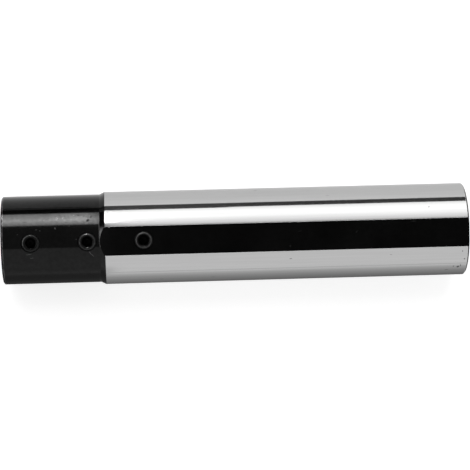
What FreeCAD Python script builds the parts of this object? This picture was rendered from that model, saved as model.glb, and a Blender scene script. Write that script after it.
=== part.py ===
import FreeCAD, Part

import math
import os

# A straight holder for a small round boring bar, in millimetres.
# The holder lies along X with its front face at x = 0 and its axis on y = z = 0.
# The bar slides into the bore from the front, and three clamp screws along +Z hold it.
# The screws stand in the upper side, and the holder rests on the opposite flat.

# Holder body
HOLDER_LENGTH = 100.0
SHANK_DIAMETER = 20.0
FLAT_DEPTH = 0.5
REAR_CHAMFER = 0.3
HEAD_DIAMETER = 19.0
HEAD_LENGTH = 21.0
SHOULDER_LENGTH = 1.0
FRONT_CHAMFER = 0.3

# Bore for the bar
BAR_DIAMETER = 8.0
BAR_FIT_CLEARANCE = 0.02
BORE_CHAMFER = 0.4

# Clamp screws, drawn at the outer diameter of their thread
SCREW_DIAMETER = 4.0
FIRST_SCREW_X = 6.3
SCREW_SPACING = 12.0
SCREW_TOP_RECESS = 0.15
SCREW_TIP_CLEARANCE = 0.34
SCREW_TOP_CHAMFER = 0.25
POINT_DIAMETER = 2.5
CUP_DIAMETER = 2.0
CUP_DEPTH = 0.4
SOCKET_ACROSS_FLATS = 2.0
SOCKET_DEPTH = 2.2
SOCKET_MOUTH_DIAMETER = 2.7
SOCKET_MOUTH_DEPTH = 0.3
SOCKET_POINT_ANGLE = 118.0

# Threaded holes for the clamp screws
THREAD_CLEARANCE = 0.03
HOLE_MOUTH_CHAMFER = 0.12

# Each clamp screw from front to rear, with how far its socket is turned, in degrees
CLAMP_SCREWS = (
    ("clamp_screw_front", 0.0),
    ("clamp_screw_middle", 20.0),
    ("clamp_screw_rear", 40.0),
)

shank_radius = SHANK_DIAMETER / 2
head_radius = HEAD_DIAMETER / 2
flat_height = shank_radius - FLAT_DEPTH
shank_start = HEAD_LENGTH + SHOULDER_LENGTH
bore_radius = (BAR_DIAMETER + BAR_FIT_CLEARANCE) / 2
screw_radius = SCREW_DIAMETER / 2
hole_radius = screw_radius + THREAD_CLEARANCE
outer_radius = max(shank_radius, head_radius)

X_AXIS = FreeCAD.Vector(1, 0, 0)
Z_AXIS = FreeCAD.Vector(0, 0, 1)
FULL_TURN = 360


def revolved(outline, axis):
    """Return the solid that a closed outline sweeps in one turn about an axis through the origin."""
    wire = Part.makePolygon(outline + outline[:1])
    return Part.Face(wire).revolve(FreeCAD.Vector(), axis, FULL_TURN)


def at(x, radius):
    """Return the point of a body outline at a place along the axis and a distance from it."""
    return FreeCAD.Vector(x, 0, radius)


def turned_blank():
    """Return the turned body with its bore: head, shoulder cone, shank and chamfered ends."""
    outline = [
        at(0, head_radius - FRONT_CHAMFER),
        at(FRONT_CHAMFER, head_radius),
        at(HEAD_LENGTH, head_radius),
        at(shank_start, shank_radius),
        at(HOLDER_LENGTH - REAR_CHAMFER, shank_radius),
        at(HOLDER_LENGTH, shank_radius - REAR_CHAMFER),
        at(HOLDER_LENGTH, bore_radius + BORE_CHAMFER),
        at(HOLDER_LENGTH - BORE_CHAMFER, bore_radius),
        at(BORE_CHAMFER, bore_radius),
        at(0, bore_radius + BORE_CHAMFER),
    ]
    return revolved(outline, X_AXIS)


def flat_cut(side):
    """Return the block that cuts one long flat, above the axis for side +1 and below it for -1."""
    depth = outer_radius - flat_height + FLAT_DEPTH
    start = FreeCAD.Vector(HEAD_LENGTH, -outer_radius, flat_height)
    block = Part.makeBox(HOLDER_LENGTH, 2 * outer_radius, depth, start)
    if side < 0:
        block.rotate(FreeCAD.Vector(), X_AXIS, FULL_TURN / 2)
    return block


def surface_height(x):
    """Return how high the body's upper side stands over the axis at a place along it."""
    if x < HEAD_LENGTH:
        return head_radius
    return min(flat_height, shank_radius)


def screw_hole(x):
    """Return the tool for one threaded hole, from the bore out through the upper side."""
    surface = surface_height(x)
    mouth_radius = hole_radius + HOLE_MOUTH_CHAMFER
    top = outer_radius + HOLE_MOUTH_CHAMFER
    shaft = Part.makeCylinder(hole_radius, top, FreeCAD.Vector(x, 0, 0), Z_AXIS)
    chamfer = Part.makeCone(
        hole_radius, mouth_radius, HOLE_MOUTH_CHAMFER,
        FreeCAD.Vector(x, 0, surface - HOLE_MOUTH_CHAMFER), Z_AXIS,
    )
    return shaft.fuse(chamfer)


def holder_body(screw_places):
    """Return the holder body: the turned blank with its two flats and its threaded holes."""
    body = turned_blank()
    body = body.cut(flat_cut(1)).cut(flat_cut(-1))
    for x in screw_places:
        body = body.cut(screw_hole(x))
    return body


def hexagon_prism(across_flats, height):
    """Return a six-sided prism that stands on z = 0."""
    corner_radius = across_flats / math.sqrt(3)
    corners = []
    for index in range(6):
        angle = math.radians(60 * index)
        corners.append(FreeCAD.Vector(corner_radius * math.cos(angle), corner_radius * math.sin(angle), 0))
    face = Part.Face(Part.makePolygon(corners + corners[:1]))
    return face.extrude(FreeCAD.Vector(0, 0, height))


def socket_cut(top):
    """Return the tool for a screw's hexagon socket, with its lead-in and drilled bottom."""
    bottom = top - SOCKET_DEPTH
    hexagon = hexagon_prism(SOCKET_ACROSS_FLATS, SOCKET_DEPTH)
    hexagon.translate(FreeCAD.Vector(0, 0, bottom))
    mouth_radius = SOCKET_MOUTH_DIAMETER / 2
    lead_in = Part.makeCone(
        mouth_radius - SOCKET_MOUTH_DEPTH, mouth_radius, SOCKET_MOUTH_DEPTH,
        FreeCAD.Vector(0, 0, top - SOCKET_MOUTH_DEPTH), Z_AXIS,
    )
    drill_radius = SOCKET_ACROSS_FLATS / 2
    drill_depth = drill_radius / math.tan(math.radians(SOCKET_POINT_ANGLE / 2))
    drill_point = Part.makeCone(0, drill_radius, drill_depth, FreeCAD.Vector(0, 0, bottom - drill_depth), Z_AXIS)
    return hexagon.fuse(lead_in).fuse(drill_point)


def clamp_screw(x, socket_turn):
    """Return one headless clamp screw with a cup point, just clear of the bar in the bore."""
    tip = bore_radius + SCREW_TIP_CLEARANCE
    top = surface_height(x) - SCREW_TOP_RECESS
    point_radius = POINT_DIAMETER / 2
    outline = [
        at(0, tip + CUP_DEPTH),
        at(CUP_DIAMETER / 2, tip),
        at(point_radius, tip),
        at(screw_radius, tip + screw_radius - point_radius),
        at(screw_radius, top - SCREW_TOP_CHAMFER),
        at(screw_radius - SCREW_TOP_CHAMFER, top),
        at(0, top),
    ]
    screw = revolved(outline, Z_AXIS).cut(socket_cut(top))
    screw.rotate(FreeCAD.Vector(), Z_AXIS, socket_turn)
    screw.translate(FreeCAD.Vector(x, 0, 0))
    return screw


def save(name, shape):
    """Write one piece to its own file and report its size."""
    solid = shape.Solids[0]
    print(name, "solids", len(shape.Solids), "valid", solid.isValid(), "volume", round(solid.Volume, 2))
    solid.exportStep(f"parts/{name}.step")


def main():
    """Build every piece in its place and write it."""
    os.makedirs("parts", exist_ok=True)
    places = [FIRST_SCREW_X + SCREW_SPACING * index for index in range(len(CLAMP_SCREWS))]
    save("holder_body", holder_body(places))
    for x, (name, socket_turn) in zip(places, CLAMP_SCREWS):
        save(name, clamp_screw(x, socket_turn))


main()
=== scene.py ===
"""Looks of a straight boring bar holder, built around its fixed frame.

The holder lies along X with its front face at x = 0. Its clamp screws face up, and it rests on a flat.
Lengths in this file are in millimetres until a mesh is finished, when they become metres.
The scales of patterns are per metre.
"""

import logging
import math
from collections.abc import Callable, Sequence
from dataclasses import dataclass, field
from enum import Enum

import bmesh
import bpy
from mathutils import Matrix, Vector

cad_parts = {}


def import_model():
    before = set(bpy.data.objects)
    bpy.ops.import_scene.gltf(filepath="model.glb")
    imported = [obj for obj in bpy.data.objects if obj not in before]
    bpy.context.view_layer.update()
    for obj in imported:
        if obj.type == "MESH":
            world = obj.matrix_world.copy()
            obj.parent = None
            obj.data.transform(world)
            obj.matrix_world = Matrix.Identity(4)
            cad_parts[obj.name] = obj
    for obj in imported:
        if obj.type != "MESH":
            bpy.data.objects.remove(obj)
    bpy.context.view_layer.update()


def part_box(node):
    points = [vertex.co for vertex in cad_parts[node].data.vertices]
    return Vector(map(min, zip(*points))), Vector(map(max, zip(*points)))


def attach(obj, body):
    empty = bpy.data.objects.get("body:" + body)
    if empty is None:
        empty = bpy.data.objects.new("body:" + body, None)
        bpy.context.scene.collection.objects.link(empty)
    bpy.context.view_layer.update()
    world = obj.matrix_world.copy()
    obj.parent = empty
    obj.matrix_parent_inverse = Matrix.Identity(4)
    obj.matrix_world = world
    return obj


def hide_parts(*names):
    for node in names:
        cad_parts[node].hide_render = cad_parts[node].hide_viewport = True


log = logging.getLogger("boring_bar_holder")

MM = 0.001
FULL_TURN = 2 * math.pi
WELD = 1e-5
CUT_TOLERANCE = WELD / 10
LEVEL_TOLERANCE = 10 * WELD
CORNER_ANGLE = math.radians(16)
WEAR_AND_PAINTED_LIGHT_ATTRIBUTE = "wear_and_painted_light"
NEARLY_UPRIGHT = 0.99

X_AXIS = Vector((1, 0, 0))
Z_AXIS = Vector((0, 0, 1))

Point = tuple[float, float]
Range = tuple[float, float]
Setting = float | tuple[float, ...] | bpy.types.NodeSocket

UNIT: Range = (0.0, 1.0)
UNIT_FALLING: Range = (1.0, 0.0)
NOISE_MIDDLE: Range = (0.3, 0.7)


class Surface(Enum):
    """The finishes of the holder body, in the order of its material slots."""

    BLACK_OXIDE = 0
    GROUND = 1
    WORN_EDGE = 2
    BORED = 3


def spun_solid(outline: Sequence[Point], steps: int) -> bmesh.types.BMesh:
    """Spin a closed outline once about the X axis.

    Args:
        outline: Places along the axis and distances from it, in order.
        steps: Facets in the full turn.

    Returns:
        A closed mesh whose faces point outwards.
    """
    mesh = bmesh.new()
    corners = [mesh.verts.new((x, 0.0, radius)) for x, radius in outline]
    edges = [mesh.edges.new((corners[index - 1], corners[index])) for index in range(len(corners))]
    bmesh.ops.spin(
        mesh, geom=corners + edges, cent=(0, 0, 0), axis=X_AXIS, dvec=(0, 0, 0),
        angle=FULL_TURN, steps=steps, use_merge=True, use_duplicate=False,
    )
    bmesh.ops.remove_doubles(mesh, verts=mesh.verts[:], dist=WELD)
    bmesh.ops.recalc_face_normals(mesh, faces=mesh.faces[:])
    return mesh


def cut_away(mesh: bmesh.types.BMesh, point: Vector, normal: Vector) -> None:
    """Cut off what lies past a plane and close the cut.

    Args:
        mesh: The closed mesh to cut.
        point: A point on the plane.
        normal: The plane's normal, which points at what is cut off.
    """
    everything = mesh.verts[:] + mesh.edges[:] + mesh.faces[:]
    bmesh.ops.bisect_plane(
        mesh, geom=everything, dist=CUT_TOLERANCE, plane_co=point, plane_no=normal,
        clear_outer=True, clear_inner=False,
    )
    rim = [edge for edge in mesh.edges if edge.is_boundary]
    bmesh.ops.contextual_create(mesh, geom=rim)


def extend_rim(
    mesh: bmesh.types.BMesh, rim: list[bmesh.types.BMEdge], place: Callable[[float], Point],
) -> list[bmesh.types.BMEdge]:
    """Extrude a rim about the Z axis and put each new corner where a rule says.

    Args:
        mesh: The mesh.
        rim: The open edges to extrude.
        place: The rule, from a corner's angle to its distance from the axis and its height.

    Returns:
        The new rim's edges.
    """
    grown = bmesh.ops.extrude_edge_only(mesh, edges=rim)["geom"]
    for vert in (item for item in grown if isinstance(item, bmesh.types.BMVert)):
        angle = math.atan2(vert.co.y, vert.co.x)
        radius, height = place(angle)
        vert.co = (radius * math.cos(angle), radius * math.sin(angle), height)
    return [item for item in grown if isinstance(item, bmesh.types.BMEdge) and item.is_boundary]


def close_rim(mesh: bmesh.types.BMesh, rim: list[bmesh.types.BMEdge], height: float) -> None:
    """Draw a rim together into one point on the Z axis.

    Args:
        mesh: The mesh.
        rim: The open edges.
        height: The height of the point.
    """
    grown = bmesh.ops.extrude_edge_only(mesh, edges=rim)["geom"]
    tips = [item for item in grown if isinstance(item, bmesh.types.BMVert)]
    bmesh.ops.pointmerge(mesh, verts=tips, merge_co=(0, 0, height))


def finished_piece(
    name: str, mesh: bmesh.types.BMesh, materials: Sequence[bpy.types.Material], crease_angle: float,
) -> bpy.types.Object:
    """Turn a finished mesh into an object at the origin, in metres, with its creases marked.

    Args:
        name: The piece's name.
        mesh: The mesh in millimetres, which is freed.
        materials: The piece's materials, in slot order.
        crease_angle: The angle between faces, in degrees, from which an edge stays sharp.

    Returns:
        The object.
    """
    for face in mesh.faces:
        face.smooth = True
    for edge in mesh.edges:
        edge.smooth = edge.is_manifold and edge.calc_face_angle() < math.radians(crease_angle)
    bmesh.ops.scale(mesh, vec=(MM, MM, MM), verts=mesh.verts[:])
    piece = linked_object(name, mesh)
    for material in materials:
        piece.data.materials.append(material)
    return piece


def linked_object(name: str, mesh: bmesh.types.BMesh) -> bpy.types.Object:
    """Put a mesh into an object of the scene.

    Args:
        name: The object's name.
        mesh: The mesh, which is freed.

    Returns:
        The object.
    """
    data = bpy.data.meshes.new(name)
    mesh.to_mesh(data)
    mesh.free()
    made = bpy.data.objects.new(name, data)
    bpy.context.scene.collection.objects.link(made)
    return made


def subtracted(mesh: bmesh.types.BMesh, cutters: Sequence[bmesh.types.BMesh]) -> bmesh.types.BMesh:
    """Cut closed meshes out of another.

    Args:
        mesh: The closed mesh to cut, which is freed.
        cutters: The closed meshes to take away, which are freed.

    Returns:
        The cut mesh.
    """
    blank = linked_object("blank", mesh)
    tools = [linked_object("hole_tool", cutter) for cutter in cutters]
    for tool in tools:
        cut = blank.modifiers.new("hole", "BOOLEAN")
        cut.operation = "DIFFERENCE"
        cut.solver = "EXACT"
        cut.object = tool
    evaluated = blank.evaluated_get(bpy.context.evaluated_depsgraph_get())
    cut_data = bpy.data.meshes.new_from_object(evaluated)
    result = bmesh.new()
    result.from_mesh(cut_data)
    bpy.data.meshes.remove(cut_data)
    for made in (blank, *tools):
        bpy.data.meshes.remove(made.data)
    return result


@dataclass(frozen=True)
class Thread:
    """A sixty degree thread wound about the Z axis."""

    outer_radius: float
    inner_radius: float
    crest_width: float
    pitch: float = 0.7
    flank_angle: float = math.radians(30)
    flank_steps: int = 3
    turn_steps: int = 72

    def ridge(self, centre: float) -> list[Point]:
        """Return one pitch of the thread, from mid-root to mid-root.

        Args:
            centre: The height of the middle of the ridge.

        Returns:
            Distances from the axis and heights, from low to high.
        """
        half_crest = self.crest_width / 2
        depth = self.outer_radius - self.inner_radius
        flank_height = depth * math.tan(self.flank_angle)
        shares = [step / self.flank_steps for step in range(self.flank_steps + 1)]
        rising = [
            (self.inner_radius + share * depth, half_crest + (1 - share) * flank_height)
            for share in shares
        ]
        outline = [(self.inner_radius, centre - self.pitch / 2)]
        outline += [(radius, centre - height) for radius, height in rising]
        outline += [(radius, centre + height) for radius, height in reversed(rising)]
        outline.append((self.inner_radius, centre + self.pitch / 2))
        return outline

    def tube(self, low: float, high: float) -> bmesh.types.BMesh:
        """Wind the thread and trim it level at both ends.

        A ridge always crosses the XZ plane at height zero, so that two threads stay in step.

        Args:
            low: The height of the lower end.
            high: The height of the upper end.

        Returns:
            A tube that is open at both ends.
        """
        first = (math.floor(low / self.pitch) - 1) * self.pitch
        turns = math.ceil((high - first) / self.pitch) + 1
        mesh = bmesh.new()
        corners = [mesh.verts.new((radius, 0.0, height)) for radius, height in self.ridge(first)]
        edges = [mesh.edges.new(pair) for pair in zip(corners, corners[1:])]
        bmesh.ops.spin(
            mesh, geom=corners + edges, cent=(0, 0, 0), axis=Z_AXIS,
            dvec=(0, 0, self.pitch / self.turn_steps), angle=FULL_TURN,
            steps=self.turn_steps, use_merge=False, use_duplicate=False,
        )
        last_turn = mesh.verts[:] + mesh.edges[:] + mesh.faces[:]
        for _ in range(turns - 1):
            last_turn = bmesh.ops.duplicate(mesh, geom=last_turn)["geom"]
            raised = [item for item in last_turn if isinstance(item, bmesh.types.BMVert)]
            bmesh.ops.translate(mesh, vec=(0, 0, self.pitch), verts=raised)
        bmesh.ops.remove_doubles(mesh, verts=mesh.verts[:], dist=LEVEL_TOLERANCE)
        for height, side in ((low, -1), (high, 1)):
            everything = mesh.verts[:] + mesh.edges[:] + mesh.faces[:]
            bmesh.ops.bisect_plane(
                mesh, geom=everything, dist=WELD, plane_co=(0, 0, height), plane_no=(0, 0, side),
                clear_outer=True, clear_inner=False,
            )
        return mesh


def rim_at(mesh: bmesh.types.BMesh, height: float) -> list[bmesh.types.BMEdge]:
    """Return the open edges of a mesh that lie at a height.

    Args:
        mesh: The mesh.
        height: The height of the rim.

    Returns:
        The rim's edges.
    """
    return [
        edge for edge in mesh.edges
        if edge.is_boundary and all(abs(vert.co.z - height) < LEVEL_TOLERANCE for vert in edge.verts)
    ]


def limit_radius(mesh: bmesh.types.BMesh, rule: Callable[[float, float], float]) -> None:
    """Move each corner in or out about the Z axis.

    Args:
        mesh: The mesh.
        rule: The new distance from the axis, from a corner's distance and height.
    """
    for vert in mesh.verts:
        radius = math.hypot(vert.co.x, vert.co.y)
        share = rule(radius, vert.co.z) / radius
        vert.co.x *= share
        vert.co.y *= share


@dataclass(frozen=True)
class WearAndPaintedLight:
    """How much bare metal shows on a screw, partly from rubbing and partly as painted highlight: 0 is black,
    1 is bare, and -1 is the darkest painted shade, with no reflection left.

    Both sides are directions in degrees, where 90 is +Y, and a higher focus gathers the bare metal and its
    painted highlight on its side.
    """

    face: float
    rim: float
    rim_side: float
    rim_focus: float
    rim_even: float
    mouth: float
    mouth_side: float = -90.0
    mouth_focus: float = 14.0
    chamfer: float = 0.04
    # The mouth away from its bare side gets painted shade, and the socket and the hidden thread get the
    # deepest painted shade.
    dull: float = -0.8
    deep_painted_shade: float = -1.0

    def on_rim(self, angle: float) -> float:
        """Return how bare the rim of the top face is in a direction, partly from rubbing and partly as
        painted highlight on the lit side.
        """
        nearness = max(0.0, math.cos(angle - math.radians(self.rim_side)))
        return self.rim * (self.rim_even + (1 - self.rim_even) * nearness**self.rim_focus)

    def on_mouth(self, angle: float) -> float:
        """Return the mouth's value in a direction: bare on one side, partly from rubbing and partly as
        painted highlight, and painted shade elsewhere.
        """
        nearness = max(0.0, math.cos(angle - math.radians(self.mouth_side)))
        return self.dull + (self.mouth - self.dull) * nearness**self.mouth_focus


@dataclass(frozen=True)
class ClampScrewForm:
    """Sizes of one headless clamp screw with a hexagon socket and a cup point."""

    thread: Thread = Thread(outer_radius=1.975, inner_radius=1.58, crest_width=0.0875)
    face_radius: float = 1.6
    face_round: float = 0.08
    rim_width: float = 0.05
    rim_spread: float = 0.1
    land_radius: float = 1.98
    land_depth: float = 0.5
    mouth_radius: float = 1.33
    mouth_round: float = 0.15
    round_steps: int = 6
    across_flats: float = 2.0
    socket_depth: float = 2.2
    drill_radius: float = 0.99
    socket_point: float = 0.6
    point_radius: float = 1.25
    cup_radius: float = 1.0
    cup_depth: float = 0.4
    crease_angle: float = 8.0

    def socket_radius(self, angle: float, turn: float) -> float:
        """Return how far the hexagon's wall is from the axis.

        Args:
            angle: The direction in which to measure.
            turn: The direction of one of the hexagon's corners.

        Returns:
            The distance.
        """
        sector = math.radians(60)
        off_middle = (angle - turn) % sector - sector / 2
        return self.across_flats / 2 / math.cos(off_middle)

    def bends(self) -> list[float]:
        """Return the slopes of a rounded edge between level and forty-five degrees."""
        return [math.radians(45) * step / self.round_steps for step in range(self.round_steps + 1)]

    def top_rings(self) -> list[Point]:
        """Return the rings of the plain land, the chamfer and the rounded rim of the top face.

        Returns:
            Distances from the axis and depths below the top face, from low to high.
        """
        rounded = [
            (self.face_radius + self.face_round * math.sin(bend), self.face_round * (1 - math.cos(bend)))
            for bend in reversed(self.bends())
        ]
        edge_radius, edge_depth = rounded[0]
        chamfer = [(radius, edge_depth + radius - edge_radius) for radius in (
            self.land_radius, edge_radius + self.rim_spread,
        )]
        return [(self.land_radius, self.land_depth), *chamfer, *rounded]

    def threaded_side(self, tip: float, top: float) -> bmesh.types.BMesh:
        """Build the threaded side with its chamfered point, up to the plain land.

        Args:
            tip: The height of the screw's point.
            top: The height of its top face.

        Returns:
            A tube that is open at both ends.
        """
        mesh = self.thread.tube(tip, top - self.land_depth)
        limit_radius(mesh, lambda radius, height: min(radius, self.point_radius + height - tip))
        return mesh

    def add_top(self, mesh: bmesh.types.BMesh, top: float) -> list[bmesh.types.BMEdge]:
        """Add the plain land, the chamfer, the rounded rim and the top face.

        Args:
            mesh: The screw's side.
            top: The height of the top face.

        Returns:
            The edges of the opening that is left for the socket.
        """
        rim = rim_at(mesh, top - self.land_depth)
        for radius, depth in self.top_rings():
            rim = extend_rim(mesh, rim, lambda angle: (radius, top - depth))
        for radius in (self.face_radius - self.rim_width, self.mouth_radius + self.rim_width):
            rim = extend_rim(mesh, rim, lambda angle: (radius, top))
        return rim

    def add_socket(
        self, mesh: bmesh.types.BMesh, rim: list[bmesh.types.BMEdge], top: float, turn: float,
    ) -> None:
        """Close the top with the rounded mouth, the hexagon and the drilled bottom.

        Args:
            mesh: The screw.
            rim: The edges of the opening in its top face.
            top: The height of the top face.
            turn: The direction of one of the hexagon's corners.
        """
        bottom = top - self.socket_depth
        for bend in self.bends():
            radius = self.mouth_radius - self.mouth_round * math.sin(bend)
            height = top - self.mouth_round * (1 - math.cos(bend))
            rim = extend_rim(mesh, rim, lambda angle: (radius, height))
        rim = extend_rim(mesh, rim, lambda angle: (
            self.socket_radius(angle, turn), height - radius + self.socket_radius(angle, turn),
        ))
        rim = extend_rim(mesh, rim, lambda angle: (self.socket_radius(angle, turn), bottom))
        rim = extend_rim(mesh, rim, lambda angle: (self.drill_radius, bottom))
        close_rim(mesh, rim, bottom - self.socket_point)

    def note_wear(self, mesh: bmesh.types.BMesh, top: float, wear_and_painted_light: WearAndPaintedLight) -> None:
        """Note on each corner how much bare metal shows there, with painted highlight on the rims and
        painted shade in the socket.

        Args:
            mesh: The screw.
            top: The height of its top face.
            wear_and_painted_light: How bare each of its edges is, with the painted highlight and painted
                shade.
        """
        layer = mesh.verts.layers.float.new(WEAR_AND_PAINTED_LIGHT_ATTRIBUTE)
        rim_radius = self.face_radius + self.face_round / 2
        for vert in mesh.verts:
            radius = math.hypot(vert.co.x, vert.co.y)
            angle = math.atan2(vert.co.y, vert.co.x)
            # Painted shade: the socket and the thread below the land reflect nothing.
            if top - vert.co.z >= self.land_depth or radius < self.mouth_radius - self.mouth_round:
                vert[layer] = wear_and_painted_light.deep_painted_shade
            elif radius < self.mouth_radius + self.rim_width / 2:
                vert[layer] = wear_and_painted_light.on_mouth(angle)
            else:
                nearness = max(0.0, 1 - abs(radius - rim_radius) / self.rim_spread)
                beside = wear_and_painted_light.face if radius < rim_radius else wear_and_painted_light.chamfer
                vert[layer] = beside + (wear_and_painted_light.on_rim(angle) - beside) * nearness

    def mesh(self, tip: float, top: float, turn: float, wear_and_painted_light: WearAndPaintedLight) -> bmesh.types.BMesh:
        """Build the screw about the Z axis.

        Args:
            tip: The height of its point.
            top: The height of its top face.
            turn: How far its socket is turned.
            wear_and_painted_light: How bare its edges are, with the painted highlight and painted shade.

        Returns:
            A closed mesh.
        """
        mesh = self.threaded_side(tip, top)
        opening = self.add_top(mesh, top)
        self.add_socket(mesh, opening, top, turn)
        rim = extend_rim(mesh, rim_at(mesh, tip), lambda angle: (self.cup_radius, tip))
        close_rim(mesh, rim, tip + self.cup_depth)
        bmesh.ops.remove_doubles(mesh, verts=mesh.verts[:], dist=WELD)
        bmesh.ops.recalc_face_normals(mesh, faces=mesh.faces[:])
        self.note_wear(mesh, top, wear_and_painted_light)
        return mesh


@dataclass(frozen=True)
class ClampScrew:
    """One clamp screw of the holder: its names, how far its socket is turned, and how bare its edges are,
    with painted highlight and painted shade.
    """

    node: str
    body: str
    socket_turn: float
    wear_and_painted_light: WearAndPaintedLight

    def place(self) -> tuple[float, float, float]:
        """Return the place along the holder and the heights of the point and the top."""
        low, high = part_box(self.node)
        return (low.x + high.x) / 2 / MM, low.z / MM, high.z / MM

    def build(self, form: ClampScrewForm, material: bpy.types.Material) -> bpy.types.Object:
        """Build the screw where the frame has it.

        Args:
            form: The screw's sizes.
            material: Its finish.

        Returns:
            The piece, riding on its body.
        """
        x, tip, top = self.place()
        mesh = form.mesh(tip, top, math.radians(self.socket_turn), self.wear_and_painted_light)
        bmesh.ops.translate(mesh, vec=(x, 0, 0), verts=mesh.verts[:])
        piece = finished_piece(f"{self.node}_threaded", mesh, [material], form.crease_angle)
        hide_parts(self.node)
        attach(piece, self.body)
        return piece


@dataclass(frozen=True)
class HolderBody:
    """The turned and ground body with its two flats, its bore and its threaded holes."""

    node: str = "holder_body"
    shank_diameter: float = 20.0
    head_diameter: float = 19.0
    head_length: float = 21.0
    shoulder_length: float = 1.0
    ground_start: float = 22.12
    end_chamfer: float = 0.3
    bore_diameter: float = 8.02
    bore_chamfer: float = 0.4
    edge_round: float = 0.05
    edge_round_steps: int = 3
    turn_steps: int = 360
    crease_angle: float = 3.0
    facet_depth: float = 0.003
    flat_clearance: float = 0.001
    mouth_radius: float = 2.06
    mouth_slope: float = 0.6
    mouth_clearance: float = 0.5
    plain_depth: float = 1.5
    bore_facing: float = 0.99
    shank_facing: float = 0.98
    flat_facing: float = 0.9999
    thread: Thread = Thread(outer_radius=2.03, inner_radius=1.66, crest_width=0.074)

    def length_and_flat_height(self) -> tuple[float, float]:
        """Return the body's length and how far its flats are from its axis."""
        low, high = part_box(self.node)
        return high.x / MM, -low.z / MM

    def blank(self, length: float) -> bmesh.types.BMesh:
        """Spin the round body with its bore and round its corners a little.

        Args:
            length: The body's length.

        Returns:
            A closed mesh.
        """
        head = self.head_diameter / 2
        shank = self.shank_diameter / 2
        bore = self.bore_diameter / 2
        outline = [
            (0.0, head - self.end_chamfer),
            (self.end_chamfer, head),
            (self.head_length, head),
            (self.head_length + self.shoulder_length, shank),
            (self.ground_start, shank),
            (length - self.end_chamfer, shank),
            (length, shank - self.end_chamfer),
            (length, bore + self.bore_chamfer),
            (length - self.bore_chamfer, bore),
            (self.bore_chamfer, bore),
            (0.0, bore + self.bore_chamfer),
        ]
        mesh = spun_solid(outline, self.turn_steps)
        rings = [edge for edge in mesh.edges if edge.calc_face_angle() > CORNER_ANGLE]
        bmesh.ops.bevel(
            mesh, geom=rings, offset=self.edge_round, offset_type="OFFSET", segments=self.edge_round_steps,
            profile=0.5, affect="EDGES", material=-1, clamp_overlap=True,
        )
        return mesh

    def cut_flats(self, mesh: bmesh.types.BMesh, flat_height: float) -> None:
        """Cut the two flats and break their long edges.

        Args:
            mesh: The round body.
            flat_height: How far the flats are from the axis.
        """
        shank = self.shank_diameter / 2
        half_angle = math.acos(flat_height / shank)
        facet_distance = shank * math.cos(half_angle / 2) - self.facet_depth
        for side in (1, -1):
            height = flat_height + self.flat_clearance
            cut_away(mesh, Vector((0, 0, side * height)), Vector((0, 0, side)))
            for lean in (1, -1):
                normal = Vector((0, lean * math.sin(half_angle / 2), side * math.cos(half_angle / 2)))
                cut_away(mesh, normal * facet_distance, normal)

    def hole_tool(self, x: float, surface: float) -> bmesh.types.BMesh:
        """Build what one threaded hole takes away.

        Args:
            x: The hole's place along the body.
            surface: The height of the surface that it opens in.

        Returns:
            A closed mesh.
        """
        bore_radius = self.bore_diameter / 2
        bottom = bore_radius / 2
        clear = surface + self.mouth_clearance
        mesh = self.thread.tube(bottom, clear)
        plain_start = surface - self.plain_depth
        limit_radius(mesh, lambda radius, height: max(
            radius,
            self.thread.outer_radius if height > plain_start else 0.0,
            self.mouth_radius - (surface - height) * self.mouth_slope,
        ))
        for height in (bottom, clear):
            bmesh.ops.contextual_create(mesh, geom=rim_at(mesh, height))
        bmesh.ops.translate(mesh, vec=(x, 0, 0), verts=mesh.verts[:])
        bmesh.ops.recalc_face_normals(mesh, faces=mesh.faces[:])
        return mesh

    def surface_of(self, face: bmesh.types.BMFace, length: float, flat_height: float) -> Surface:
        """Return the finish of one face.

        Args:
            face: The face.
            length: The body's length.
            flat_height: How far the flats are from the axis.

        Returns:
            Its finish.
        """
        centre = face.calc_center_median()
        radius = math.hypot(centre.y, centre.z)
        inward = -(face.normal.y * centre.y + face.normal.z * centre.z) / radius
        facing = Vector((0, centre.y, centre.z)).normalized().dot(face.normal)
        if radius < self.bore_diameter / 2 + self.edge_round and inward > self.bore_facing:
            return Surface.BORED
        if not self.ground_start < centre.x < length - self.end_chamfer or facing < self.shank_facing:
            return Surface.BLACK_OXIDE
        if abs(centre.z) > flat_height - self.flat_clearance and abs(face.normal.z) > self.flat_facing:
            return Surface.BLACK_OXIDE
        if radius < self.shank_diameter / 2 * math.cos(FULL_TURN / self.turn_steps):
            return Surface.WORN_EDGE
        return Surface.GROUND

    def build(
        self, screws: Sequence[ClampScrew], materials: Sequence[bpy.types.Material],
    ) -> bpy.types.Object:
        """Build the whole body.

        Args:
            screws: The clamp screws, which say where the holes are.
            materials: The finishes, in the order of Surface.

        Returns:
            The piece, riding on the holder.
        """
        length, flat_height = self.length_and_flat_height()
        mesh = self.blank(length)
        self.cut_flats(mesh, flat_height)
        tools = []
        for screw in screws:
            x, _, _ = screw.place()
            surface = self.head_diameter / 2 if x < self.head_length else flat_height
            tools.append(self.hole_tool(x, surface))
        mesh = subtracted(mesh, tools)
        bmesh.ops.remove_doubles(mesh, verts=mesh.verts[:], dist=WELD)
        mesh.normal_update()
        for face in mesh.faces:
            face.material_index = self.surface_of(face, length, flat_height).value
        piece = finished_piece("holder_body_finished", mesh, materials, self.crease_angle)
        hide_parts(self.node)
        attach(piece, "holder")
        return piece


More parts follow.
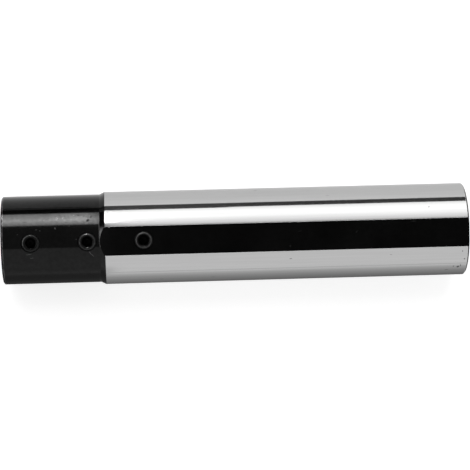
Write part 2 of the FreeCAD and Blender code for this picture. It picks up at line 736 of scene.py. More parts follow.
def put(
    tree: bpy.types.NodeTree, kind: str, inputs: dict[str | int, Setting] | None = None, **options: object,
) -> bpy.types.Node:
    """Add one shader node.

    Args:
        tree: The node tree.
        kind: The node's type.
        inputs: What feeds each input: a socket to link, or a value to set.
        options: The node's own options.

    Returns:
        The node.
    """
    made = tree.nodes.new(kind)
    for name, value in options.items():
        setattr(made, name, value)
    for name, value in (inputs or {}).items():
        if isinstance(value, bpy.types.NodeSocket):
            tree.links.new(value, made.inputs[name])
        else:
            made.inputs[name].default_value = value
    return made


def math_of(tree: bpy.types.NodeTree, operation: str, *values: Setting) -> bpy.types.NodeSocket:
    """Return the result of one arithmetic node.

    Args:
        tree: The node tree.
        operation: The arithmetic.
        values: The numbers or sockets that it works on.

    Returns:
        The result's socket.
    """
    return put(tree, "ShaderNodeMath", dict(enumerate(values)), operation=operation).outputs[0]


def vector_math(tree: bpy.types.NodeTree, operation: str, *values: Setting) -> bpy.types.Node:
    """Add one vector arithmetic node.

    Args:
        tree: The node tree.
        operation: The arithmetic.
        values: The vectors or sockets that it works on.

    Returns:
        The node.
    """
    return put(tree, "ShaderNodeVectorMath", dict(enumerate(values)), operation=operation)


def ranged(
    tree: bpy.types.NodeTree, value: Setting, source: Range, target: Range, smooth: bool = False,
) -> bpy.types.NodeSocket:
    """Carry a value from one range to another, held at both ends.

    Args:
        tree: The node tree.
        value: The value.
        source: The range that it has.
        target: The range that it gets.
        smooth: Whether both ends ease in.

    Returns:
        The result's socket.
    """
    inputs = {
        "Value": value, "From Min": source[0], "From Max": source[1],
        "To Min": target[0], "To Max": target[1],
    }
    kind = "SMOOTHSTEP" if smooth else "LINEAR"
    return put(tree, "ShaderNodeMapRange", inputs, interpolation_type=kind).outputs[0]


def mixed_colour(
    tree: bpy.types.NodeTree, share: Setting, first: Setting, second: Setting,
) -> bpy.types.NodeSocket:
    """Mix two colours.

    Args:
        tree: The node tree.
        share: How much of the second colour shows.
        first: The first colour.
        second: The second colour.

    Returns:
        The mixed colour's socket.
    """
    # Inputs 6 and 7 and output 2 are the colour sockets of this node.
    mix = put(tree, "ShaderNodeMix", {0: share, 6: first, 7: second}, data_type="RGBA")
    return mix.outputs[2]


def grey(level: float) -> tuple[float, float, float, float]:
    """Return a neutral colour."""
    return (level, level, level, 1.0)


@dataclass(frozen=True)
class GroupSocket:
    """One input or output of an effect group."""

    name: str
    kind: str = "NodeSocketFloat"
    default: float | tuple[float, float, float] = 0.0


VECTOR_INPUT = GroupSocket("Vector", "NodeSocketVector", (0.0, 0.0, 0.0))


def new_group(
    name: str, inputs: Sequence[GroupSocket], outputs: Sequence[GroupSocket],
) -> tuple[bpy.types.NodeTree, bpy.types.Node, bpy.types.Node]:
    """Start a shader node group.

    Args:
        name: The group's name.
        inputs: Its inputs.
        outputs: Its outputs.

    Returns:
        The group, its input node and its output node.
    """
    tree = bpy.data.node_groups.new(name, "ShaderNodeTree")
    for direction, sockets in (("INPUT", inputs), ("OUTPUT", outputs)):
        for item in sockets:
            socket = tree.interface.new_socket(name=item.name, in_out=direction, socket_type=item.kind)
            if direction == "INPUT":
                socket.default_value = item.default
    return tree, tree.nodes.new("NodeGroupInput"), tree.nodes.new("NodeGroupOutput")


def tool_line_group() -> bpy.types.NodeTree:
    """Make the group of fine lines that grinding, turning or honing leaves around the axis.

    Returns:
        The group.
    """
    tree, given, result = new_group(
        "tool_lines",
        [VECTOR_INPUT, GroupSocket("Fineness", default=6000.0), GroupSocket("Run", default=120.0)],
        [GroupSocket("Height"), GroupSocket("Tone")],
    )
    run = given.outputs["Run"]
    across = put(tree, "ShaderNodeCombineXYZ", {"X": given.outputs["Fineness"], "Y": run, "Z": run})
    stretched = vector_math(tree, "MULTIPLY", given.outputs["Vector"], across.outputs[0]).outputs[0]
    fine = put(tree, "ShaderNodeTexNoise", {
        "Vector": stretched, "Scale": 1.0, "Detail": 3.0, "Roughness": 0.6,
    })
    broad = put(tree, "ShaderNodeTexNoise", {"Vector": stretched, "Scale": 0.12, "Detail": 2.0})
    tree.links.new(fine.outputs["Fac"], result.inputs["Height"])
    tree.links.new(ranged(tree, broad.outputs["Fac"], NOISE_MIDDLE, UNIT), result.inputs["Tone"])
    return tree


def cloud_group() -> bpy.types.NodeTree:
    """Make the group of soft uneven patches.

    Returns:
        The group.
    """
    tree, given, result = new_group(
        "clouds",
        [VECTOR_INPUT, GroupSocket("Scale", default=300.0), GroupSocket("Detail", default=4.0)],
        [GroupSocket("Tone")],
    )
    noise = put(tree, "ShaderNodeTexNoise", {
        "Vector": given.outputs["Vector"], "Scale": given.outputs["Scale"],
        "Detail": given.outputs["Detail"], "Roughness": 0.62,
    })
    tree.links.new(ranged(tree, noise.outputs["Fac"], NOISE_MIDDLE, UNIT), result.inputs["Tone"])
    return tree


def speck_group() -> bpy.types.NodeTree:
    """Make the group of small scattered spots.

    Returns:
        The group.
    """
    tree, given, result = new_group(
        "specks",
        [
            VECTOR_INPUT, GroupSocket("Scale", default=400.0), GroupSocket("Size", default=0.12),
            GroupSocket("Share", default=0.1),
        ],
        [GroupSocket("Mask")],
    )
    soft_edge = (0.5, 1.0)
    cells = put(tree, "ShaderNodeTexVoronoi", {
        "Vector": given.outputs["Vector"], "Scale": given.outputs["Scale"],
    })
    draw = put(tree, "ShaderNodeSeparateColor", {0: cells.outputs["Color"]}).outputs[0]
    chosen = math_of(tree, "LESS_THAN", draw, given.outputs["Share"])
    ratio = math_of(tree, "DIVIDE", cells.outputs["Distance"], given.outputs["Size"])
    spot = ranged(tree, ratio, soft_edge, UNIT_FALLING, smooth=True)
    tree.links.new(math_of(tree, "MULTIPLY", chosen, spot), result.inputs["Mask"])
    return tree


def mark_group() -> bpy.types.NodeTree:
    """Make the group of one small ragged mark.

    Returns:
        The group.
    """
    tree, given, result = new_group(
        "mark",
        [
            VECTOR_INPUT,
            GroupSocket("Centre", "NodeSocketVector", (0.0, 0.0, 0.0)),
            GroupSocket("Turn"),
            GroupSocket("Half Size", "NodeSocketVector", (1.0, 1.0, 1.0)),
            GroupSocket("Strength", default=1.0),
        ],
        [GroupSocket("Mask")],
    )
    raggedness = 1.2
    soft_edge = (0.5, 1.1)
    offset = vector_math(tree, "SUBTRACT", given.outputs["Vector"], given.outputs["Centre"]).outputs[0]
    turned = put(
        tree, "ShaderNodeVectorRotate", {"Vector": offset, "Angle": given.outputs["Turn"]},
        rotation_type="Z_AXIS",
    ).outputs[0]
    shares = vector_math(tree, "DIVIDE", turned, given.outputs["Half Size"]).outputs[0]
    distance = vector_math(tree, "LENGTH", shares).outputs["Value"]
    noise = put(tree, "ShaderNodeTexNoise", {
        "Vector": given.outputs["Vector"], "Scale": 3500.0, "Detail": 2.0,
    }).outputs["Fac"]
    least = math_of(tree, "SUBTRACT", distance, raggedness / 2)
    reach = math_of(tree, "MULTIPLY_ADD", noise, raggedness, least)
    shape = ranged(tree, reach, soft_edge, UNIT_FALLING, smooth=True)
    tree.links.new(math_of(tree, "MULTIPLY", shape, given.outputs["Strength"]), result.inputs["Mask"])
    return tree


def ring_wear_and_highlight_group() -> bpy.types.NodeTree:
    """Make the group of a thin broken ring around the holder's axis, where an edge is rubbed bare, partly as
    a painted highlight.

    Returns:
        The group.
    """
    tree, given, result = new_group(
        "ring_wear_and_highlight",
        [VECTOR_INPUT, GroupSocket("Place"), GroupSocket("Half Width", default=0.0001)],
        [GroupSocket("Mask")],
    )
    patchy_noise = (0.35, 0.6)
    patchy_share = (0.15, 1.0)
    along = put(tree, "ShaderNodeSeparateXYZ", {0: given.outputs["Vector"]}).outputs["X"]
    offset = math_of(tree, "ABSOLUTE", math_of(tree, "SUBTRACT", along, given.outputs["Place"]))
    nearness = math_of(tree, "SUBTRACT", 1.0, math_of(tree, "DIVIDE", offset, given.outputs["Half Width"]))
    broken = put(tree, "ShaderNodeTexNoise", {
        "Vector": given.outputs["Vector"], "Scale": 900.0, "Detail": 4.0,
    })
    share = ranged(tree, broken.outputs["Fac"], patchy_noise, patchy_share)
    mask = math_of(tree, "MULTIPLY", math_of(tree, "MAXIMUM", nearness, 0.0), share)
    tree.links.new(mask, result.inputs["Mask"])
    return tree


@dataclass(frozen=True)
class Effects:
    """The shared shader effects, each built once."""

    tool_lines: bpy.types.NodeTree = field(default_factory=tool_line_group)
    clouds: bpy.types.NodeTree = field(default_factory=cloud_group)
    specks: bpy.types.NodeTree = field(default_factory=speck_group)
    mark: bpy.types.NodeTree = field(default_factory=mark_group)
    ring_wear_and_highlight: bpy.types.NodeTree = field(default_factory=ring_wear_and_highlight_group)


@dataclass(frozen=True)
class Mark:
    """One small mark on the upper side: its place, its size and how far it is turned, in degrees."""

    x: float
    y: float
    length: float
    width: float
    turn: float = 0.0
    strength: float = 1.0


def effect(
    tree: bpy.types.NodeTree, group: bpy.types.NodeTree, **inputs: Setting,
) -> bpy.types.NodeOutputs:
    """Put a shared effect into a material.

    Args:
        tree: The material's node tree.
        group: The effect.
        inputs: What feeds each input of the effect.

    Returns:
        The effect's outputs.
    """
    return put(tree, "ShaderNodeGroup", inputs, node_tree=group).outputs


def marks_on(
    tree: bpy.types.NodeTree, effects: Effects, coordinates: bpy.types.NodeSocket, marks: Sequence[Mark],
) -> bpy.types.NodeSocket:
    """Return a mask of small marks on the upper side.

    Args:
        tree: The material's node tree.
        effects: The shared effects.
        coordinates: The object coordinates.
        marks: The marks.

    Returns:
        The mask's socket.
    """
    height = put(tree, "ShaderNodeSeparateXYZ", {0: coordinates}).outputs["Z"]
    found: Setting = 0.0
    for mark in marks:
        centre = (mark.x * MM, mark.y * MM, 0.0)
        half_size = (mark.length * MM / 2, mark.width * MM / 2, 1.0)
        made = effect(tree, effects.mark, **{
            "Vector": coordinates, "Centre": centre, "Turn": -math.radians(mark.turn),
            "Half Size": half_size, "Strength": mark.strength,
        })
        found = math_of(tree, "MAXIMUM", found, made["Mask"])
    return math_of(tree, "MULTIPLY", found, math_of(tree, "GREATER_THAN", height, 0.0))


def new_material(name: str) -> tuple[bpy.types.Material, bpy.types.Node, bpy.types.NodeSocket]:
    """Start a material on object coordinates.

    Args:
        name: The material's name.

    Returns:
        The material, its surface shader and the coordinates.
    """
    material = bpy.data.materials.new(name)
    material.use_nodes = True
    tree = material.node_tree
    coordinates = put(tree, "ShaderNodeTexCoord").outputs["Object"]
    return material, tree.nodes["Principled BSDF"], coordinates


def raise_surface(
    tree: bpy.types.NodeTree, shader: bpy.types.Node, height: bpy.types.NodeSocket, depth: float,
) -> None:
    """Give a surface fine relief.

    Args:
        tree: The material's node tree.
        shader: Its surface shader.
        height: The relief, from 0 to 1.
        depth: How deep the relief is, in millimetres.
    """
    bump = put(tree, "ShaderNodeBump", {"Strength": 1.0, "Distance": depth * MM, "Height": height})
    tree.links.new(bump.outputs["Normal"], shader.inputs["Normal"])


@dataclass(frozen=True)
class BlackOxide:
    """The blacked finish of the head, the flats and the ends, with its small scuff marks and chips, a
    painted highlight on the shoulder, and a rubbed front rim that is partly painted highlight.
    """

    name: str = "black_oxide"
    colours: Range = (0.001, 0.0026)
    bare_colour: float = 0.3
    reflection_index: float = 1.25
    gloss: float = 0.6
    uneven_gloss: float = 0.3
    roughness: Range = (0.07, 0.13)
    relief: float = 0.0003
    speck_bareness: float = 0.5
    scuff_and_highlight_bareness: float = 0.3
    # The ring at the front chamfer's edge is rubbed bare, partly as a painted highlight.
    rim_bareness_and_highlight: float = 0.5
    rim_place: float = 0.4
    rim_half_width: float = 0.12
    scuffs_and_highlight: tuple[Mark, ...] = (
        Mark(12.0, 5.0, 0.6, 0.6, strength=0.4), Mark(13.2, 5.1, 0.6, 0.4, strength=0.3),
        Mark(9.4, 4.8, 0.8, 0.3, strength=0.15), Mark(15.6, 5.5, 0.7, 0.3, strength=0.2),
        Mark(11.6, 3.0, 0.25, 0.5, 20), Mark(7.6, 2.8, 0.5, 0.15, strength=0.6), Mark(8.4, 2.6, 0.2, 0.15),
        Mark(18.9, -2.4, 1.0, 0.2, -54, 0.8), Mark(19.45, -2.95, 0.8, 0.18, -50, 0.6),
        Mark(5.9, -2.4, 1.4, 0.12, 6, 0.7), Mark(6.6, -3.2, 0.9, 0.12, 4, 0.7),
        Mark(16.0, 0.6, 0.3, 0.15, 40, 0.6), Mark(14.6, 3.4, 0.5, 0.1, 10, 0.4),
        # The long thin mark at x = 20.92 is a painted highlight on the shoulder.
        Mark(3.6, 1.9, 0.3, 0.12, 60, 0.5), Mark(20.92, 1.6, 0.22, 5.6, strength=0.7),
        Mark(75.8, 0.7, 0.9, 0.2, 40, 0.12), Mark(61.5, -2.0, 0.6, 0.35, 80, 0.1),
        Mark(88.0, 2.6, 1.5, 0.35, 5, 0.1), Mark(63.6, 1.1, 1.0, 0.15, 15, 0.08),
    )
    chips: tuple[Mark, ...] = (
        Mark(18.55, 4.5, 1.0, 0.55, 22), Mark(19.2, 5.15, 0.4, 0.8, strength=0.7),
        Mark(2.5, 5.2, 0.8, 0.4, strength=0.3), Mark(9.4, 6.1, 0.9, 0.25, strength=0.6),
        Mark(16.5, 5.6, 0.7, 0.3, -15, 0.7),
        Mark(5.2, 4.4, 1.1, 0.25, 4, 0.5), Mark(14.0, 4.2, 0.9, 0.2, -6, 0.5),
    )

    def material(self, effects: Effects) -> bpy.types.Material:
        """Build the material.

        Args:
            effects: The shared effects.

        Returns:
            The material.
        """
        material, shader, coordinates = new_material(self.name)
        tree = material.node_tree
        patches = effect(tree, effects.clouds, Vector=coordinates, Scale=1300.0, Detail=5.0)["Tone"]
        smudges = effect(tree, effects.clouds, Vector=coordinates, Scale=110.0, Detail=3.0)["Tone"]
        specks = effect(tree, effects.specks, Vector=coordinates, Scale=700.0, Size=0.1, Share=0.008)["Mask"]
        lines = effect(tree, effects.tool_lines, Vector=coordinates, Fineness=9000.0, Run=300.0)
        scuffed_or_highlit = marks_on(tree, effects, coordinates, self.scuffs_and_highlight)
        chipped = marks_on(tree, effects, coordinates, self.chips)
        rim = effect(tree, effects.ring_wear_and_highlight, **{
            "Vector": coordinates, "Place": self.rim_place * MM, "Half Width": self.rim_half_width * MM,
        })["Mask"]
        bare = math_of(tree, "MULTIPLY", specks, self.speck_bareness)
        # The scuff marks, one painted highlight among them, and the ring, partly a painted highlight, bare
        # the metal.
        for mask, bareness in ((scuffed_or_highlit, self.scuff_and_highlight_bareness), (rim, self.rim_bareness_and_highlight)):
            bare = math_of(tree, "MAXIMUM", bare, math_of(tree, "MULTIPLY", mask, bareness))
        low, high = self.colours
        blacked = mixed_colour(tree, smudges, grey(low), grey(high))
        colour = mixed_colour(tree, bare, blacked, grey(self.bare_colour))
        tree.links.new(colour, shader.inputs["Base Color"])
        reflection_cut = math_of(tree, "MAXIMUM", math_of(tree, "MULTIPLY", patches, self.uneven_gloss), chipped)
        tree.links.new(math_of(tree, "MAXIMUM", bare, reflection_cut), shader.inputs["Metallic"])
        tree.links.new(ranged(tree, patches, UNIT, self.roughness), shader.inputs["Roughness"])
        raise_surface(tree, shader, lines["Height"], self.relief)
        shader.inputs["Specular IOR Level"].default_value = self.gloss
        shader.inputs["IOR"].default_value = self.reflection_index
        return material


@dataclass(frozen=True)
class GroundSteel:
    """The bright cylindrically ground shank, with a few small dull marks."""

    name: str = "ground_steel"
    colours: Range = (0.42, 0.445)
    dull_colour: float = 0.12
    edge_tint: float = 0.8
    roughness: Range = (0.06, 0.09)
    relief: float = 0.00004
    dull_marks: tuple[Mark, ...] = (
        Mark(98.5, -4.1, 0.25, 0.35), Mark(99.1, -5.9, 0.3, 0.4), Mark(97.9, -7.7, 0.7, 0.45, 15),
        Mark(98.4, -7.4, 0.2, 0.7), Mark(96.9, -7.6, 0.3, 0.4, strength=0.7),
        Mark(61.6, -4.8, 0.7, 0.25, 8, 0.7), Mark(83.1, -4.5, 0.35, 0.2, strength=0.6),
        Mark(91.5, 5.5, 0.4, 0.2, 15, 0.6), Mark(54.6, 9.6, 0.8, 0.1, 5, 0.6),
        Mark(95.5, -8.4, 0.9, 0.15, 5, 0.7), Mark(45.0, -8.6, 1.2, 0.12, 3, 0.4),
        Mark(70.0, 8.3, 1.1, 0.12, 2, 0.3), Mark(75.5, -8.9, 2.5, 0.08, 1, 0.3),
        Mark(34.0, -8.8, 1.0, 0.1, 2, 0.4),
    )

    def material(self, effects: Effects) -> bpy.types.Material:
        """Build the material.

        Args:
            effects: The shared effects.

        Returns:
            The material.
        """
        material, shader, coordinates = new_material(self.name)
        tree = material.node_tree
        lines = effect(tree, effects.tool_lines, Vector=coordinates, Fineness=12000.0, Run=90.0)
        streaks = effect(tree, effects.tool_lines, Vector=coordinates, Fineness=40.0, Run=1600.0)["Height"]
        patches = effect(tree, effects.clouds, Vector=coordinates, Scale=250.0, Detail=4.0)["Tone"]
        reflection_cut = marks_on(tree, effects, coordinates, self.dull_marks)
        low, high = self.colours
        clean = mixed_colour(tree, ranged(tree, streaks, NOISE_MIDDLE, UNIT), grey(low), grey(high))
        colour = mixed_colour(tree, reflection_cut, clean, grey(self.dull_colour))
        tree.links.new(colour, shader.inputs["Base Color"])
        tree.links.new(ranged(tree, patches, UNIT, self.roughness), shader.inputs["Roughness"])
        raise_surface(tree, shader, lines["Height"], self.relief)
        shader.inputs["Metallic"].default_value = 1.0
        shader.inputs["Specular Tint"].default_value = grey(self.edge_tint)
        return material


@dataclass(frozen=True)
class WornEdge:
    """The rubbed long edges of the flats, dull and bare."""

    name: str = "worn_edge"
    colours: Range = (0.62, 0.8)
    roughness: float = 0.5

    def material(self, effects: Effects) -> bpy.types.Material:
        """Build the material.

        Args:
            effects: The shared effects.

        Returns:
            The material.
        """
        material, shader, coordinates = new_material(self.name)
        tree = material.node_tree
        patches = effect(tree, effects.clouds, Vector=coordinates, Scale=500.0, Detail=5.0)["Tone"]
        low, high = self.colours
        tree.links.new(mixed_colour(tree, patches, grey(low), grey(high)), shader.inputs["Base Color"])
        shader.inputs["Roughness"].default_value = self.roughness
        shader.inputs["Metallic"].default_value = 1.0
        return material


@dataclass(frozen=True)
class BoredSteel:
    """The reamed wall of the bore."""

    name: str = "bored_steel"
    colours: Range = (0.3, 0.4)
    roughness: float = 0.32
    relief: float = 0.0015

    def material(self, effects: Effects) -> bpy.types.Material:
        """Build the material.

        Args:
            effects: The shared effects.

        Returns:
            The material.
        """
        material, shader, coordinates = new_material(self.name)
        tree = material.node_tree
        lines = effect(tree, effects.tool_lines, Vector=coordinates, Fineness=5000.0, Run=200.0)
        low, high = self.colours
        tree.links.new(mixed_colour(tree, lines["Tone"], grey(low), grey(high)), shader.inputs["Base Color"])
        raise_surface(tree, shader, lines["Height"], self.relief)
        shader.inputs["Metallic"].default_value = 1.0
        shader.inputs["Roughness"].default_value = self.roughness
        return material


@dataclass(frozen=True)
class ScrewSteel:
    """The blacked finish of the clamp screws, bare where their edges are rubbed and as painted highlight,
    and reflecting nothing as painted shade in the socket.
    """

    name: str = "black_screw_steel"
    black: float = 0.003
    bare: float = 0.5
    reflection_index: float = 1.3
    roughness: Range = (0.24, 0.34)
    relief: float = 0.001
    uneven_wear: Range = (0.5, 1.3)
    painted_shade_metallic: float = 0.95

    def material(self, effects: Effects) -> bpy.types.Material:
        """Build the material.

        Args:
            effects: The shared effects.

        Returns:
            The material.
        """
        material, shader, coordinates = new_material(self.name)
        tree = material.node_tree
        patches = effect(tree, effects.clouds, Vector=coordinates, Scale=1800.0, Detail=4.0)["Tone"]
        wear_and_painted_light = put(tree, "ShaderNodeAttribute", attribute_name=WEAR_AND_PAINTED_LIGHT_ATTRIBUTE).outputs["Fac"]
        # Bare metal, partly from rubbing and partly as painted highlight.
        bare_share = math_of(tree, "MAXIMUM", wear_and_painted_light, 0.0)
        rubbed = math_of(tree, "MULTIPLY", bare_share, ranged(tree, patches, UNIT, self.uneven_wear))
        # Painted shade: below zero the metal turns black and reflects nothing.
        reflection_cut = ranged(tree, wear_and_painted_light, (-1.0, 0.0), (self.painted_shade_metallic, 0.0))
        colour = mixed_colour(tree, rubbed, grey(self.black), grey(self.bare))
        tree.links.new(colour, shader.inputs["Base Color"])
        tree.links.new(math_of(tree, "MAXIMUM", rubbed, reflection_cut), shader.inputs["Metallic"])
        tree.links.new(ranged(tree, rubbed, UNIT, self.roughness), shader.inputs["Roughness"])
        raise_surface(tree, shader, patches, self.relief)
        shader.inputs["IOR"].default_value = self.reflection_index
        return material


class Edge(Enum):
    """The edges of a card, each with the card's own axis across it and the end of that axis."""

    LEFT = ("X", -1)
    RIGHT = ("X", 1)
    BOTTOM = ("Y", -1)
    TOP = ("Y", 1)


@dataclass(frozen=True)
class Fade:
    """How a card's light changes towards one edge.

    It starts to change at the reach from the edge. At the edge it is the level times the card's own light.
    """

    edge: Edge
    reach: float
    level: float
    bend: float = 1.0


@dataclass(frozen=True)
class Card:
    """A flat studio card that only reflections see."""

    name: str
    centre: tuple[float, float, float]
    width: float
    height: float
    facing: tuple[float, float, float]
    strength: float
    fades: tuple[Fade, ...] = ()

    def build(self) -> bpy.types.Object:
        """Build the card facing its direction, with its width level.

        Returns:
            The card.
        """
        mesh = bmesh.new()
        # The size of a grid is half its side.
        bmesh.ops.create_grid(mesh, x_segments=1, y_segments=1, size=0.5)
        bmesh.ops.scale(mesh, vec=(self.width * MM, self.height * MM, 1), verts=mesh.verts[:])
        card = linked_object(self.name, mesh)
        card.matrix_world = Matrix.Translation(Vector(self.centre) * MM) @ level_turn(Vector(self.facing))
        card.data.materials.append(self.material())
        card.visible_camera = False
        card.visible_diffuse = False
        card.visible_transmission = False
        card.visible_shadow = False
        return card

    def material(self) -> bpy.types.Material:
        """Build the card's glow, which can change towards its edges.

        Returns:
            The material.
        """
        material, shader, coordinates = new_material(self.name)
        tree = material.node_tree
        place = put(tree, "ShaderNodeSeparateXYZ", {0: coordinates})
        strength: Setting = self.strength
        for fade in self.fades:
            axis, side = fade.edge.value
            half = (self.width if axis == "X" else self.height) * MM / 2
            inward = math_of(tree, "MULTIPLY_ADD", place.outputs[axis], -side, half)
            rise = math_of(tree, "POWER", ranged(tree, inward, (0.0, fade.reach * MM), UNIT), fade.bend)
            strength = math_of(tree, "MULTIPLY", ranged(tree, rise, UNIT, (fade.level, 1.0)), strength)
        glow = put(tree, "ShaderNodeEmission", {"Color": grey(1.0), "Strength": strength})
        tree.nodes.remove(shader)
        tree.links.new(glow.outputs[0], tree.nodes["Material Output"].inputs["Surface"])
        return material


def level_turn(facing: Vector) -> Matrix:
    """Return the turn that points a card's face one way and keeps its width level.

    Args:
        facing: Where the face looks.

    Returns:
        The turn, as a four by four matrix.
    """
    normal = facing.normalized()
    across = Z_AXIS.cross(normal) if abs(normal.z) < NEARLY_UPRIGHT else X_AXIS
    across = across.normalized()
    up = normal.cross(across)
    return Matrix((across, up, normal)).transposed().to_4x4()


def ray_kinds(tree: bpy.types.NodeTree) -> tuple[bpy.types.NodeSocket, bpy.types.NodeSocket]:
    """Tell rays from the camera, and rays from a mirror or through glass, from the rest.

    Args:
        tree: The node tree.

    Returns:
        A socket that is 1 for the first kind, and one that is 1 for the second.
    """
    path = put(tree, "ShaderNodeLightPath").outputs
    mirrored = math_of(tree, "MAXIMUM", path["Is Glossy Ray"], path["Is Transmission Ray"])
    return path["Is Camera Ray"], mirrored


@dataclass(frozen=True)
class Floor:
    """The pale floor that the holder lies on."""

    height: float
    size: float = 3000.0
    colour: float = 0.62
    seen_level: float = 0.66
    mirrored_level: float = 0.5

    def build(self) -> bpy.types.Object:
        """Build the floor.

        Returns:
            The floor.
        """
        mesh = bmesh.new()
        bmesh.ops.create_grid(mesh, x_segments=1, y_segments=1, size=self.size * MM / 2)
        bmesh.ops.translate(mesh, vec=(0, 0, self.height * MM), verts=mesh.verts[:])
        floor = linked_object("floor", mesh)
        floor.data.materials.append(self.material())
        return floor

    def material(self) -> bpy.types.Material:
        """Build the floor's paper, lifted to white where it is seen or mirrored.

        Returns:
            The material.
        """
        material, shader, _ = new_material("floor_paper")
        tree = material.node_tree
        seen, mirrored = ray_kinds(tree)
        lift = math_of(tree, "MULTIPLY", mirrored, self.mirrored_level)
        lift = math_of(tree, "MULTIPLY_ADD", seen, self.seen_level, lift)
        shader.inputs["Base Color"].default_value = grey(self.colour)
        shader.inputs["Roughness"].default_value = 1.0
        shader.inputs["Specular IOR Level"].default_value = 0.0
        shader.inputs["Emission Color"].default_value = grey(1.0)
        tree.links.new(lift, shader.inputs["Emission Strength"])
        return material


@dataclass(frozen=True)
class Studio:
    """The plain studio: floor, world, one soft lamp and the cards that shape reflections."""

    floor_height: float
    world_level: float = 0.55
    mirrored_level: float = 1.1
    lamp_energy: float = 1.4
    lamp_place: tuple[float, float, float] = (40.0, 330.0, 320.0)
    lamp_size: tuple[float, float] = (450.0, 400.0)

    def cards(self) -> list[Card]:
        """Return the cards that the polished steel mirrors."""
        return [
            Card("ceiling", (152, 120, 480), 275, 560, (0, 0, -1), 0.1),
            Card("head_ceiling", (-98, 120, 480), 225, 560, (0, 0, -1), 0.3),
            Card(
                "soft_box", (190, 260, 228), 350, 343, (0, -1, 0), 2.35,
                (Fade(Edge.LEFT, 12, 0.8), Fade(Edge.TOP, 220, 0.47), Fade(Edge.BOTTOM, 60, 0.74)),
            ),
            Card(
                "head_light", (-18.5, 258, 180), 63, 228, (0, -1, 0), 20.0,
                (Fade(Edge.RIGHT, 16, 1.7), Fade(Edge.TOP, 114, 0.36), Fade(Edge.BOTTOM, 114, 0.36)),
            ),
            Card("shank_horizon", (275, 245, 30.5), 430, 55, (0, -1, 0), 0.08),
            Card("corner_horizon", (38, 245, 34), 44, 62, (0, -1, 0), 0.1),
            Card("head_horizon", (-197, 245, 35), 426, 70, (0, -1, 0), 0.0),
            Card("head_horizon_floor", (-92, 196, self.floor_height + 1), 215, 94, (0, 0, 1), 0.0),
            Card(
                "front_light", (-300, 35, 230), 290, 260, (1, 0, -0.5), 8.5,
                (Fade(Edge.RIGHT, 60, 0.15), Fade(Edge.TOP, 80, 0.4), Fade(Edge.BOTTOM, 80, 0.4)),
            ),
            Card("front_card", (-300, 0, 50), 320, 110, (1, 0, 0), 0.4),
            Card("front_far_shade", (-150, 55, self.floor_height + 1), 260, 125, (0, 0, 1), 0.12),
            Card("front_far_wall", (-301, 305, 120), 250, 220, (1, 0, 0), 0.08),
            Card(
                "near_shade", (157.5, -87, self.floor_height + 1), 274, 150, (0, 0, 1), 1.1,
                (Fade(Edge.TOP, 150, 0.0, 0.4),),
            ),
            Card(
                "head_near_shade", (-92.5, -153, self.floor_height + 1), 226, 292, (0, 0, 1), 0.86,
                (Fade(Edge.TOP, 150, 0.0, 0.75),),
            ),
            Card(
                "head_near_wall", (-93, -300, 65), 225, 150, (0, 1, 0), 0.85,
                (Fade(Edge.TOP, 90, 1.3),),
            ),
        ]

    def build(self) -> None:
        """Build the floor, the world, the lamp and the cards."""
        Floor(self.floor_height).build()
        for card in self.cards():
            card.build()
        self.light_world()
        self.hang_lamp()

    def light_world(self) -> None:
        """Give the world a plain level, and white where it is seen or mirrored."""
        world = bpy.data.worlds.new("studio")
        world.use_nodes = True
        tree = world.node_tree
        lifted = math_of(tree, "MAXIMUM", *ray_kinds(tree))
        level = ranged(tree, lifted, UNIT, (self.world_level, self.mirrored_level))
        background = tree.nodes["Background"]
        background.inputs["Color"].default_value = grey(1.0)
        tree.links.new(level, background.inputs["Strength"])
        bpy.context.scene.world = world

    def hang_lamp(self) -> bpy.types.Object:
        """Hang the soft lamp that lights the floor and throws the soft shadow.

        Returns:
            The lamp.
        """
        data = bpy.data.lights.new("soft_lamp", "AREA")
        data.shape = "RECTANGLE"
        data.size, data.size_y = (side * MM for side in self.lamp_size)
        data.energy = self.lamp_energy
        lamp = bpy.data.objects.new("soft_lamp", data)
        place = Vector(self.lamp_place)
        lamp.matrix_world = Matrix.Translation(place * MM) @ level_turn(place)
        lamp.visible_glossy = False
        lamp.visible_camera = False
        bpy.context.scene.collection.objects.link(lamp)
        return lamp


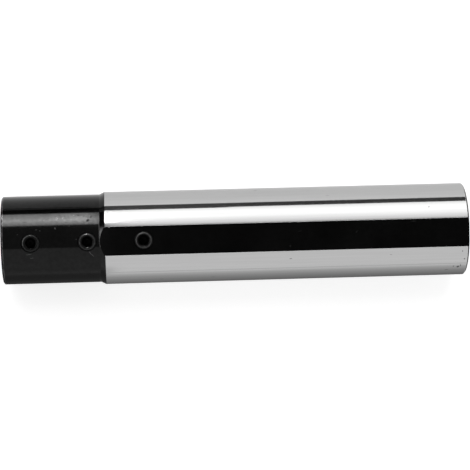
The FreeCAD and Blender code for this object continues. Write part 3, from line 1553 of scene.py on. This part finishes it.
@dataclass(frozen=True)
class ProductCamera:
    """The camera at the photograph's viewing angle: nearly overhead, leaning to +Y."""

    foot: float = 29.8
    distance: float = 424.0
    lean: float = 4.4
    aim: tuple[float, float, float] = (50.2, -0.1, 0.0)
    roll: float = 1.52
    lens: float = 149.4
    sensor: float = 36.0
    clip_start: float = 42.4

    def build(self) -> bpy.types.Object:
        """Build the camera and make it the scene's.

        Returns:
            The camera.
        """
        data = bpy.data.cameras.new("product_camera")
        data.lens = self.lens
        data.sensor_width = self.sensor
        data.clip_start = self.clip_start * MM
        camera = bpy.data.objects.new("product_camera", data)
        bpy.context.scene.collection.objects.link(camera)
        lean = math.radians(self.lean)
        roll = math.radians(self.roll)
        place = Vector((self.foot, self.distance * math.sin(lean), self.distance * math.cos(lean)))
        backward = (place - Vector(self.aim)).normalized()
        image_up = Vector((0, math.cos(lean), -math.sin(lean)))
        upward = image_up * math.cos(roll) + X_AXIS * math.sin(roll)
        rightward = upward.cross(backward).normalized()
        upward = backward.cross(rightward)
        turn = Matrix((rightward, upward, backward)).transposed().to_4x4()
        camera.matrix_world = Matrix.Translation(place * MM) @ turn
        bpy.context.scene.camera = camera
        return camera


def clamp_screws() -> list[ClampScrew]:
    """Return the three clamp screws, from the front."""
    return [
        # Each rim's side and focus gather its bare metal, partly rubbing and partly painted highlight, on
        # the lit side; a mouth below zero is painted shade.
        ClampScrew("clamp_screw_front", "front_screw", 0.0, WearAndPaintedLight(
            face=0.0, rim=0.27, rim_side=140, rim_focus=2, rim_even=0.16, mouth=-0.8,
        )),
        ClampScrew("clamp_screw_middle", "middle_screw", 20.0, WearAndPaintedLight(
            face=0.03, rim=0.6, rim_side=100, rim_focus=24, rim_even=0.15, mouth=0.28, mouth_focus=24,
        )),
        ClampScrew("clamp_screw_rear", "rear_screw", 40.0, WearAndPaintedLight(
            face=0.045, rim=0.48, rim_side=110, rim_focus=8, rim_even=0.3, mouth=0.0,
        )),
    ]


def main() -> None:
    """Build the holder, its screws and the studio."""
    logging.basicConfig(level=logging.INFO, format="%(name)s: %(message)s")
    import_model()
    effects = Effects()
    finishes = {
        Surface.BLACK_OXIDE: BlackOxide().material(effects),
        Surface.GROUND: GroundSteel().material(effects),
        Surface.WORN_EDGE: WornEdge().material(effects),
        Surface.BORED: BoredSteel().material(effects),
    }
    screws = clamp_screws()
    body = HolderBody()
    pieces = [body.build(screws, [finishes[surface] for surface in Surface])]
    screw_finish = ScrewSteel().material(effects)
    form = ClampScrewForm()
    pieces += [screw.build(form, screw_finish) for screw in screws]
    for piece in pieces:
        log.info("%s has %d faces", piece.name, len(piece.data.polygons))
    _, flat_height = body.length_and_flat_height()
    Studio(-flat_height).build()
    ProductCamera().build()
    bpy.context.scene.view_settings.view_transform = "Standard"


if __name__ == "__main__":
    main()
